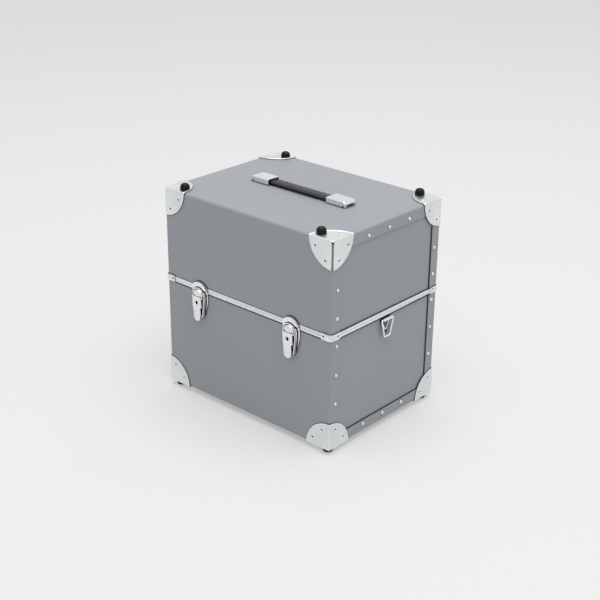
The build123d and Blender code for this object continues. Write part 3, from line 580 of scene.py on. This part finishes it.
def lobeAngle(radius, index, slit):
    # The direction of a point on its ring, from one fold to the next, with room for the slit if there is one.
    edge, half, eighth = plate["edge"], plate["half"], math.pi / 4
    near = min(index, 2 * half - index)
    ease = min(1.0, plate["ease"] * radius / (edge[-1] * plate["fold"])) if radius else 1.0
    angleAtEdge = [math.asin(min(1, ease * plate["fold"] * e / max(radius, 1e-6))) for e in edge]
    if near >= len(edge):
        last = len(edge) - 1
        angle = angleAtEdge[-1] + (eighth - angleAtEdge[-1]) * (near - last) / (half - last)
    else:
        angle = angleAtEdge[near] if radius > 1e-6 else eighth * near / half
    if slit and radius > plate["reliefTo"][0]:
        gap = plate["relief"] if radius < plate["reliefTo"][1] else plate["slit"]
        least = math.asin(min(0.95, gap / radius))
        angle = least + angle * (eighth - least) / eighth
    return math.pi / 2 - angle if index > half else angle


def plateSkin(openSeam):
    # The outer surface: three lobes over a rounded corner, drawn on rings about its point.
    fold, half, steps = plate["fold"], plate["half"], plate["beadSteps"]
    beadStart = plate["reach"] - plate["beadWidth"]
    beadRadii = [beadStart + plate["beadWidth"] * step / steps for step in range(steps + 1)]
    shape = bmesh.new()
    for lobe in range(3):
        rings = []
        for radius in (*plate["radii"], *beadRadii):
            row = []
            for index in range(2 * half + 1):
                slit = openSeam and ((lobe == 1 and index > half) or (lobe == 2 and index <= half))
                angle = lobeAngle(radius, index, slit)
                flat = (radius * math.cos(angle), radius * math.sin(angle), 0.0)
                point = Vector([flat[(axis - lobe) % 3] for axis in range(3)])
                core = Vector([max(value, fold) for value in point])
                out = (point - core).normalized()
                along = min(1, max(0.0, (radius - beadStart) / plate["beadWidth"]) * plate["beadSpan"])
                height = plate["bead"] * math.sin(math.pi * along) ** plate["beadPower"] if along else 0.0
                row.append(shape.verts.new(core + out * (fold + height)))
            rings.append(row)
        for low, high in zip(rings, rings[1:]):
            for a, b, c, d in zip(low, low[1:], high[1:], high):
                shape.faces.new((a, b, c, d))
    bmesh.ops.remove_doubles(shape, verts=shape.verts, dist=plate["merge"])
    bmesh.ops.dissolve_degenerate(shape, dist=plate["merge"] / 2, edges=shape.edges)
    bmesh.ops.recalc_face_normals(shape, faces=shape.faces)
    middle = min(shape.faces, key=lambda face: face.calc_center_median().length)
    if middle.normal.dot(Vector((1, 1, 1))) > 0:
        bmesh.ops.reverse_faces(shape, faces=shape.faces)
    return keepShape(shape, "plateSkin")


def plateSheet(openSeam):
    def thick(carrier):
        solid = carrier.modifiers.new("sheet", "SOLIDIFY")
        solid.thickness, solid.offset = plate["sheet"] - plate["thin"], -1
        solid.use_even_offset = False

    return settleModifiers(plateSkin(openSeam), thick, plate["smooth"])


def cornerPlaces(top):
    # From the corner's own axes, which point into the box, to each corner of the case.
    level = case["top"] + plate["sheet"] if top else case["floor"] - plate["sheet"]
    for x, y in fourWays:
        point = spot(x * (case["halfX"] + plate["sheet"]), y * (case["halfY"] + plate["sheet"]), level)
        flip = Matrix.Diagonal((-x * mm, -y * mm, (-1 if top else 1) * mm, 1))
        yield Matrix.Translation(point) @ flip


def hollowRivets(name, shape, body):
    # Tubular rivets: a bright ring round a hole. The hole is a flat fan of triangles at each rivet's middle,
    # near-black as painted shade.
    for face in shape.faces:
        face.material_index = int(len(face.verts) == 3)
    makePiece(name, finishShape(shape, name, tubeRivet["smooth"]), body, ["zinc", "keyway"])


def makeCorners(part, top):
    mesh = gatherCopies(plateSheet(top), cornerPlaces(top), f"{part}Corners", plate["smooth"])
    makePiece(f"{part}Corners", mesh, part, "zinc", [f"{part}_corners"])
    rivets = bmesh.new()
    for place in cornerPlaces(top):
        for a, b in plate["rivets"]:
            for lobe in range(3):
                if top and lobe == 0 and (a, b) == plate["rivets"][0]:
                    continue     # the knob stands here
                point, outward = Vector(), Vector()
                point[lobe], point[(lobe + 1) % 3] = a + plate["sheet"], b + plate["sheet"]
                outward[(lobe + 2) % 3] = -1.0
                seat = place @ point
                direction = place @ (point + outward) - seat
                lathe(rivets, tubeRivet["profile"], facing(seat, direction), tubeRivet["steps"])
    hollowRivets(f"{part}CornerRivets", rivets, part)


claspRivet = {"along": 15.5, "front": 1.9, "back": 1.6, "rise": 2.9, "frontRise": 0.7, "backScale": 0.8,
              "profile": [(2.5, 0.0), (2.5, 0.2), (2.3, 0.45), (2.0, 0.5), (1.8, 0.3), (1.7, 0.06), (0, 0.05)]}


def makeClaspRivets(part):
    # One in each leg. In front the base's angle spans both bands, and behind each part has its own.
    shape = bmesh.new()
    for x, y in fourWays:
        front = y < 0
        if front and part == "lid":
            continue
        out = claspRivet["front" if front else "back"]
        rise = claspRivet["frontRise"] if front else claspRivet["rise"] * (1 if part == "lid" else -1)
        profile = [(radius * (1 if front else claspRivet["backScale"]), height)
                   for radius, height in claspRivet["profile"]]
        endX, endY = case["halfX"] + out, case["halfY"] + out
        legs = ((endX, endY - claspRivet["along"], (x, 0, 0)), (endX - claspRivet["along"], endY, (0, y, 0)))
        for alongX, alongY, outward in legs:
            place = facing(spot(x * alongX, y * alongY, case["seam"] + rise), outward)
            lathe(shape, profile, place, tubeRivet["steps"])
    hollowRivets(f"{part}ClaspRivets", shape, part)


makeCorners("lid", True)
makeCorners("base", False)
makeClaspRivets("lid")
makeClaspRivets("base")
print("corner plates made")

# Rubber knobs on the lid and feet under the base. Turn is the number of sides and the angle smoothed over.
rubber = {"knob": [(6.8, 0.0), (7.4, 0.35), (7.7, 1.3), (7.75, 2.8), (7.6, 4.3), (7.1, 6.0), (6.2, 7.6), (5.0, 8.7),
                   (4.0, 9.2), (3.3, 9.3), (3.0, 9.1), (2.85, 7.9), (0, 7.8)],
          "foot": [(7.9, 0.0), (8.0, 0.5), (7.9, 5.0), (7.6, 7.2), (7.0, 7.9), (6.2, 8.0), (3.4, 8.0), (3.2, 7.8),
                   (3.1, 6.4), (0, 6.3)],
          "screw": [(2.6, 7.8), (2.6, 8.2), (2.2, 8.6), (1.2, 8.8), (0, 8.8)],
          "knobAt": (142.0, 117.0), "footAt": (163.0, 118.0), "turn": (40, 40), "screwTurn": (24, 40)}


def fourPlaces(at, level, up):
    return [facing(spot(x * at[0], y * at[1], level), (0, 0, up)) for x, y in fourWays]


knobPlaces = fourPlaces(rubber["knobAt"], case["top"] + plate["sheet"], 1)
footPlaces = fourPlaces(rubber["footAt"], case["floor"] - plate["sheet"], -1)
turnedPieces("lidKnobs", rubber["knob"], knobPlaces, "lid", "rubber", "black_rubber", ["lid_knobs"], *rubber["turn"])
turnedPieces("knobScrews", rubber["screw"], knobPlaces, "lid", "darkSteel", "rivet_steel", ["knob_bolts"],
             *rubber["screwTurn"])
turnedPieces("baseFeet", rubber["foot"], footPlaces, "base", "rubber", "black_rubber", ["base_feet"], *rubber["turn"])
print("rubber made")

# The handle: two end caps and the flat strap between them.
cap = {"mouth": 60.5, "length": 38.0, "halfWidth": 12.6, "height": 9.8, "sheet": 1.2, "round": 1.5, "roundSteps": 4,
       "past": 2.0, "lipThin": ((0.2, 0.16), (1.0, -0.14)), "smooth": 30,
       "lip": [(32.6, 9.8), (34.2, 9.6), (35.6, 9.0), (36.8, 8.0), (37.6, 6.7), (38.0, 5.3)],
       "slot": ((36.0, 39.0), (-9.2, 9.2), (1.6, 4.4)), "notch": ((32.4, 35.2), (11.2, 15.0), (-1.0, 3.4))}
# Upper and lower are the strap's section from its edge to its middle: how far in, and how high.
strap = {"middle": 353.9, "halfWidth": 9.6, "half": 2.5, "mouth": 60.5, "bend": 24.5, "end": 86.5, "reach": 9.0,
         "step": 1.5, "smooth": 60,
         "upper": ((0.0, 0.0), (0.15, 0.7), (0.5, 1.3), (1.1, 1.7), (1.9, 1.75), (2.3, 1.3), (2.7, 1.15),
                   (3.1, 1.5), (4.2, 2.15), (6.4, 2.42)),
         "lower": ((0.15, -0.8), (0.6, -1.6), (1.3, -2.2), (2.2, -2.5))}


def blockMesh(profile, low, high, name, bevel=0.0, finishIndex=0):
    # A side view drawn out across the cap, with its outer edges rounded.
    shape = bmesh.new()
    rows = [[shape.verts.new(Vector((x, y, z)) * mm) for x, z in profile] for y in (low, high)]
    closeEnds(shape, rows)
    joinRings(shape, rows)
    bmesh.ops.recalc_face_normals(shape, faces=shape.faces)
    if bevel:
        outer = [edge for edge in shape.edges if abs(edge.verts[0].co.y - edge.verts[1].co.y) < 1e-6
                 and max(v.co.x for v in edge.verts) > 1e-5 and max(v.co.z for v in edge.verts) > 1e-5]
        bmesh.ops.bevel(shape, geom=outer, offset=bevel * mm, segments=cap["roundSteps"], profile=0.5,
                        affect="EDGES")
    for face in shape.faces:
        face.material_index = finishIndex
    mesh = keepShape(shape, name)
    for finish in ("chrome", "darkSteel"):
        mesh.materials.append(materials[finish])
    return mesh


def boxProfile(span, levels):
    return [(span[0], levels[0]), (span[1], levels[0]), (span[1], levels[1]), (span[0], levels[1])]


def capShell():
    # A hollow block, open below and towards the strap. Its sheet thins a little over the rounded lip.
    sheet, half, past = cap["sheet"], cap["halfWidth"], cap["past"]
    (thinX, moreX), (thinZ, moreZ) = cap["lipThin"]
    outline = [(0, 0), (cap["length"], 0)] + list(reversed(cap["lip"])) + [(0, cap["height"])]
    inside = [(-past, -past), (cap["length"] - sheet, -past)]
    inside += [(x - sheet * (thinX + moreX * index), z - sheet * (thinZ + moreZ * index))
               for index, (x, z) in reversed(list(enumerate(cap["lip"])))] + [(-past, cap["height"] - sheet)]
    # The inside takes the dark finish: painted shade within the chrome cap.
    cutters = [blockMesh(inside, sheet - half, half - sheet, "capInside", 0, 1)]
    along, across, up = cap["slot"]
    cutters.append(blockMesh(boxProfile(along, up), *across, "capSlot"))
    along, across, up = cap["notch"]
    for low, high in (across, (-across[1], -across[0])):
        cutters.append(blockMesh(boxProfile(along, up), low, high, "capNotch"))
    holders = [stand("cutter", cutter) for cutter in cutters]
    block = blockMesh(outline, -half, half, "capBlock", cap["round"])
    result = settleModifiers(block, lambda carrier: cutWith(carrier, holders), cap["smooth"])
    for holder in holders:
        bpy.data.objects.remove(holder)
    result.materials.clear()
    return result


def makeCaps():
    places = [Matrix.Translation(spot(side * cap["mouth"], 0, case["top"])) @ Matrix.Diagonal((side, 1, 1, 1))
              for side in sides.values()]
    mesh = gatherCopies(capShell(), places, "handleCaps", cap["smooth"])
    makePiece("handleCaps", mesh, "lid", ["chrome", "darkSteel"], ["handle_caps"])


makeCaps()


def strapSection():
    # Rounded edges, a crowned top between two sunk lines, and a flat underside.
    width, half = strap["halfWidth"], strap["half"]
    lower = [(width - inward, z) for inward, z in reversed(strap["lower"])]
    upper = [(width - inward, z) for inward, z in strap["upper"]]
    right = [(0.0, -half)] + lower + upper + [(0.0, half)]
    return right + [(-x, z) for x, z in reversed(right[1:-1])]


def strapLength(name, start, end):
    section = strapSection()
    count = max(2, round((end - start) / strap["step"]))
    shape = bmesh.new()
    rings = []
    for step in range(count + 1):
        x = start + (end - start) * step / count
        rings.append([shape.verts.new(spot(x, y, strap["middle"] + z)) for y, z in section])
    joinRings(shape, rings)
    closeEnds(shape, rings)
    return finishShape(shape, name, strap["smooth"])


def makeStrap():
    # Four straight lengths, each spanning one joint.
    mouth, bend, end = strap["mouth"], strap["bend"], strap["end"]
    half = (mouth + bend) / 2
    runs = [("strapEndLeft", -end, -half, -mouth, ("tongue_left", "ramp_left"), ["strap_tongue_left"]),
            ("strapRiseLeft", -half, 0.0, -bend, ("ramp_left", "grip"), ["strap_ramp_left", "strap_grip"]),
            ("strapRiseRight", 0.0, half, bend, ("grip", "ramp_right"), ["strap_ramp_right"]),
            ("strapEndRight", half, end, mouth, ("ramp_right", "tongue_right"), ["strap_tongue_right"])]
    for name, first, last, joint, bodies, replaced in runs:
        piece = makePiece(name, strapLength(name, first, last), None, "strap")
        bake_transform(piece)
        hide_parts(*replaced)


makeStrap()
print("handle made")

# Latches, hinges and rings.
latch = {"across": 98.0, "dome": 9.0, "domeHalf": 9.4, "domeStart": 2.3, "domeSlack": 0.5, "domeSteps": 48,
         "floor": 9.75, "front": 10.2, "smooth": 40, "leverSmooth": 28,
         "domeProfile": [(10.4, 1.6), (10.35, 4.2), (10.1, 6.4), (9.4, 8.1), (8.4, 9.1), (7.4, 9.5), (6.9, 9.35),
                         (6.5, 9.05), (6.0, 9.15), (5.0, 9.55), (3.0, 9.9), (1.2, 10.0), (0, 10.0)],
         "sink": {"half": 4.9, "top": 34.5, "low": 43.6, "depth": 0.7, "slope": 0.8, "flare": 1.6, "past": 0.6,
                  "steps": 16}}


def frontFacing(x, out, level):
    return facing(spot(x, -case["halfY"] - out, level), (0, -1, 0), (1, 0, 0))


def makeLatchPlate(side):
    # The faceted dome gives way to a smooth one, with a ring pressed round its middle.
    name = f"latchPlate{side.title()}"
    shape = bmesh.new()
    shape.from_mesh(softCopy(f"latch_plate_{side}", rounding["latchPlate"]))
    middle = sides[side] * latch["across"]

    def standsOut(point, least):
        return -(point.y / mm - shiftY) - case["halfY"] > least

    inDome = [face for face in shape.faces
              if all(abs(v.co.x / mm - middle) < latch["domeHalf"]
                     and standsOut(v.co, latch["domeStart"] - latch["domeSlack"]) for v in face.verts)
              and standsOut(face.calc_center_median(), latch["domeStart"])]
    bmesh.ops.delete(shape, geom=inDome, context="FACES")
    dome = bmesh.new()
    place = frontFacing(middle, 0.0, case["seam"] - latch["dome"])
    lathe(dome, latch["domeProfile"], place, latch["domeSteps"])
    cut = bmesh.ops.bisect_plane(dome, geom=dome.verts[:] + dome.edges[:] + dome.faces[:], dist=1e-6,
                                 plane_co=spot(0, 0, case["seam"] - latch["floor"]), plane_no=(0, 0, -1),
                                 clear_outer=True)
    rim = [item for item in cut["geom_cut"] if isinstance(item, bmesh.types.BMEdge)]
    bmesh.ops.contextual_create(dome, geom=rim)
    bmesh.ops.recalc_face_normals(dome, faces=dome.faces)
    domeMesh = keepShape(dome, "dome")
    shape.from_mesh(domeMesh)
    bpy.data.meshes.remove(domeMesh)
    makePiece(name, keepShape(shape, name, latch["smooth"]), "base", "chrome", [f"latch_plate_{side}"])


def sinkCutter(side):
    # A slot with a round end and sloping walls.
    sink = latch["sink"]
    shape = bmesh.new()
    rows = []
    turn = [math.pi * step / sink["steps"] for step in range(sink["steps"] + 1)]
    for out, grow in ((latch["front"] - sink["depth"], 0.0), (latch["front"] + sink["past"], sink["flare"])):
        half = sink["half"] + sink["slope"] * grow - sink["slope"]
        points = [(half * math.cos(math.pi + a), -sink["low"] + half * math.sin(math.pi + a)) for a in turn]
        points += [(half * math.cos(a), -sink["top"] - half + half * math.sin(a)) for a in turn]
        middle, wall = sides[side] * latch["across"], -case["halfY"] - out
        rows.append([shape.verts.new(spot(middle + x, wall, case["seam"] + z)) for x, z in points])
    closeEnds(shape, rows)
    joinRings(shape, rows)
    bmesh.ops.recalc_face_normals(shape, faces=shape.faces)
    return stand("sink", keepShape(shape, "sink"))


def makeLever(side):
    holder = sinkCutter(side)
    lever = softCopy(f"latch_lever_{side}", rounding["lever"])
    mesh = settleModifiers(lever, lambda carrier: cutWith(carrier, [holder]), latch["leverSmooth"])
    bpy.data.objects.remove(holder)
    weightNormals(makePiece(f"latchLever{side.title()}", mesh, f"lever_{side}", "chrome",
                            [f"latch_lever_{side}"]))


bracketPlate = 15.0     # the flat part of a ring's bracket begins this far below the seam
for side in sides:
    end = side.title()
    softPiece(f"strike_{side}", f"strike{end}", rounding["strike"], "chrome")
    makeLatchPlate(side)
    makeLever(side)
    softPiece(f"latch_bail_{side}", f"latchBail{end}", rounding["bail"], "chrome")
    for part in ("lid", "base"):
        softPiece(f"{part}_hinge_{side}", f"{part}Hinge{end}", rounding["hinge"], "nickel")
    # The ring bracket is chrome; its flat plate takes the dark finish as painted dark reflection and shade beside its
    # bright eye and ribs.
    bracket = softPiece(f"ring_bracket_{side}", f"ringBracket{end}", rounding["bracket"], ["chrome", "darkSteel"])
    for face in bracket.data.polygons:     # the flat plate's painted reflection and shade
        face.material_index = int(face.center.z < (case["seam"] - bracketPlate) * mm)

lock = {"level": 176.2, "front": 10.05, "radius": 3.6, "chamfer": 0.3, "hole": 2.6, "slot": (1.45, 3.45),
        "depth": 3.2, "back": -6.2, "cam": ((-2.0, 2.0), (-7.0, 0.0), (-7.4, -6.2)), "steps": 48}


def keyholeRadius(angle):
    # Distance from the round hole's middle to the keyhole's edge.
    side, low = abs(math.cos(angle)), -math.sin(angle)
    if low <= 0:
        return lock["hole"]
    return max(lock["hole"], min(lock["slot"][0] / max(side, 1e-6), lock["slot"][1] / low))


def makeBarrel(side):
    place = frontFacing(sides[side] * latch["across"], lock["front"], lock["level"])
    radius, chamfer = lock["radius"], lock["chamfer"]
    shape = bmesh.new()

    def ring(level, size=None):
        return [shape.verts.new(place @ (Vector((math.cos(a), math.sin(a), 0)) * mm * (size or keyholeRadius(a))
                                         + Vector((0, 0, level * mm)))) for a in circleAngles(lock["steps"])]

    outer = [ring(lock["back"], radius), ring(-chamfer, radius), ring(0, radius - chamfer), ring(0)]
    keyhole = ring(-lock["depth"])
    joinRings(shape, outer)
    # The keyhole's walls and floor are near-black: painted shade in the recess.
    for face in joinRings(shape, [outer[-1], keyhole]) + [shape.faces.new(keyhole)]:
        face.material_index = 1
    shape.faces.new(outer[0])
    cam, levels = boxProfile(*lock["cam"][:2]), lock["cam"][2]
    corners = [[shape.verts.new(place @ (Vector((x, y, z)) * mm)) for x, y in cam] for z in levels]
    closeEnds(shape, corners)
    joinRings(shape, corners)
    name = f"lockBarrel{side.title()}"
    makePiece(name, finishShape(shape, name), f"barrel_{side}", ["nickel", "keyway"],
              [f"lock_barrel_{side}"])


ringWire = {"drop": 10.0, "standoff": 5.0, "radius": 1.6, "topHalf": 14.4, "bottomHalf": 6.4, "height": 28.9,
            "bends": (2.2, 2.2, 3.4, 3.4), "bendSteps": 10, "steps": 20, "smooth": 60}


def makeRing(side):
    x = sides[side] * (case["halfX"] - case["fibre"] + ringWire["standoff"])
    level = case["seam"] - ringWire["drop"]
    top, low = ringWire["topHalf"], ringWire["bottomHalf"]
    corners = [(x, -top + shiftY, level), (x, top + shiftY, level),
               (x, low + shiftY, level - ringWire["height"]), (x, -low + shiftY, level - ringWire["height"])]
    shape = bmesh.new()
    path = roundedPath(corners, ringWire["bends"], ringWire["bendSteps"])
    tube(shape, path, ringWire["radius"], True, ringWire["steps"])
    name = f"ring{side.title()}Wire"
    mesh = finishShape(shape, name, ringWire["smooth"])
    makePiece(name, mesh, f"end_ring_{side}", "chrome", [f"ring_{side}"])


# The bracket's pressed ribs run down in a V behind the ring.
rib = {"out": 1.3, "radius": 1.15, "run": ((-7.6, -6.0), (0.0, -21.5), (7.6, -6.0)), "bend": 2.5, "bendSteps": 6,
       "steps": 12}


def makeRibs(side):
    x, level = sides[side] * (case["halfX"] - case["fibre"] + rib["out"]), case["seam"] - ringWire["drop"]
    corners = [(x, y + shiftY, level + z) for y, z in rib["run"]]
    shape = bmesh.new()
    path = roundedPath(corners, (0, rib["bend"], 0), rib["bendSteps"], False)
    tube(shape, path, rib["radius"], False, rib["steps"])
    name = f"bracketRibs{side.title()}"
    makePiece(name, finishShape(shape, name, ringWire["smooth"]), "base", "chrome")


for side in sides:
    makeBarrel(side)
    makeRing(side)
    makeRibs(side)
print("fittings made")

# What is left of the frame takes its finish here.
plainNodes = {"darkSteel": ["foot_bolts", "handle_bolts"], "nickel": ["hinge_pins", "handle_backing"],
              "chrome": ["lever_pin_left", "lever_pin_right", "bail_pin_left", "bail_pin_right"]}
for finish, names in plainNodes.items():
    for name in names:
        data = frame["nodes"][name].data
        data.materials.clear()
        data.materials.append(materials[finish])

# Floor, room and lamp, in metres. Seen values are what the camera and mirrors see, and the others light the object.
stage = {"floor": 0.71, "floorSeen": 0.37, "floorGlow": 0.365, "floorRoughness": 0.9, "floorGloss": 0.1,
         "half": 8.0, "room": 0.74, "roomSeen": 0.85, "lamp": 96.0, "lampSize": 3.2, "spot": (0.5, -0.15, 3.4),
         "aim": (0, 0, 0.2)}


def seenRays(tree):
    # Camera, mirror and glass rays see the pale room; the rest only light the object.
    path = addNode(tree, "LightPath").outputs
    seen = path["Is Camera Ray"]
    for kind in ("Is Glossy Ray", "Is Transmission Ray"):
        seen = addNode(tree, "Math", {0: seen, 1: path[kind]}, operation="MAXIMUM").outputs[0]
    return seen


def makeStage():
    mesh = bpy.data.meshes.new("floor")
    half = stage["half"]
    mesh.from_pydata([(-half, -half, 0), (half, -half, 0), (half, half, 0), (-half, half, 0)], [], [(0, 1, 2, 3)])
    floor = stand("floor", mesh)
    material, tree, shader = startMaterial("paleFloor")
    seen = seenRays(tree)
    tone = mixFloat(tree, seen, stage["floor"], stage["floorSeen"])
    color = addNode(tree, "CombineXYZ", {"X": tone, "Y": tone, "Z": tone}).outputs[0]
    tree.links.new(color, shader.inputs["Base Color"])
    shader.inputs["Emission Color"].default_value = (1, 1, 1, 1)
    tree.links.new(mixFloat(tree, seen, 0.0, stage["floorGlow"]), shader.inputs["Emission Strength"])
    shader.inputs["Roughness"].default_value = stage["floorRoughness"]
    shader.inputs["Specular IOR Level"].default_value = stage["floorGloss"]
    mesh.materials.append(material)

    world = bpy.data.worlds.new("paleRoom")
    world.use_nodes = True
    tree = world.node_tree
    background = tree.nodes["Background"]
    background.inputs["Color"].default_value = (1, 1, 1, 1)
    tree.links.new(mixFloat(tree, seenRays(tree), stage["room"], stage["roomSeen"]), background.inputs["Strength"])
    bpy.context.scene.world = world

    lamp = bpy.data.lights.new("softOverhead", "AREA")
    lamp.shape, lamp.size, lamp.energy = "SQUARE", stage["lampSize"], stage["lamp"]
    place = Vector(stage["spot"])
    stand("softOverhead", lamp).matrix_world = facing(place, place - Vector(stage["aim"]))


makeStage()
bpy.context.scene.view_settings.view_transform = "Standard"
print("stage made")
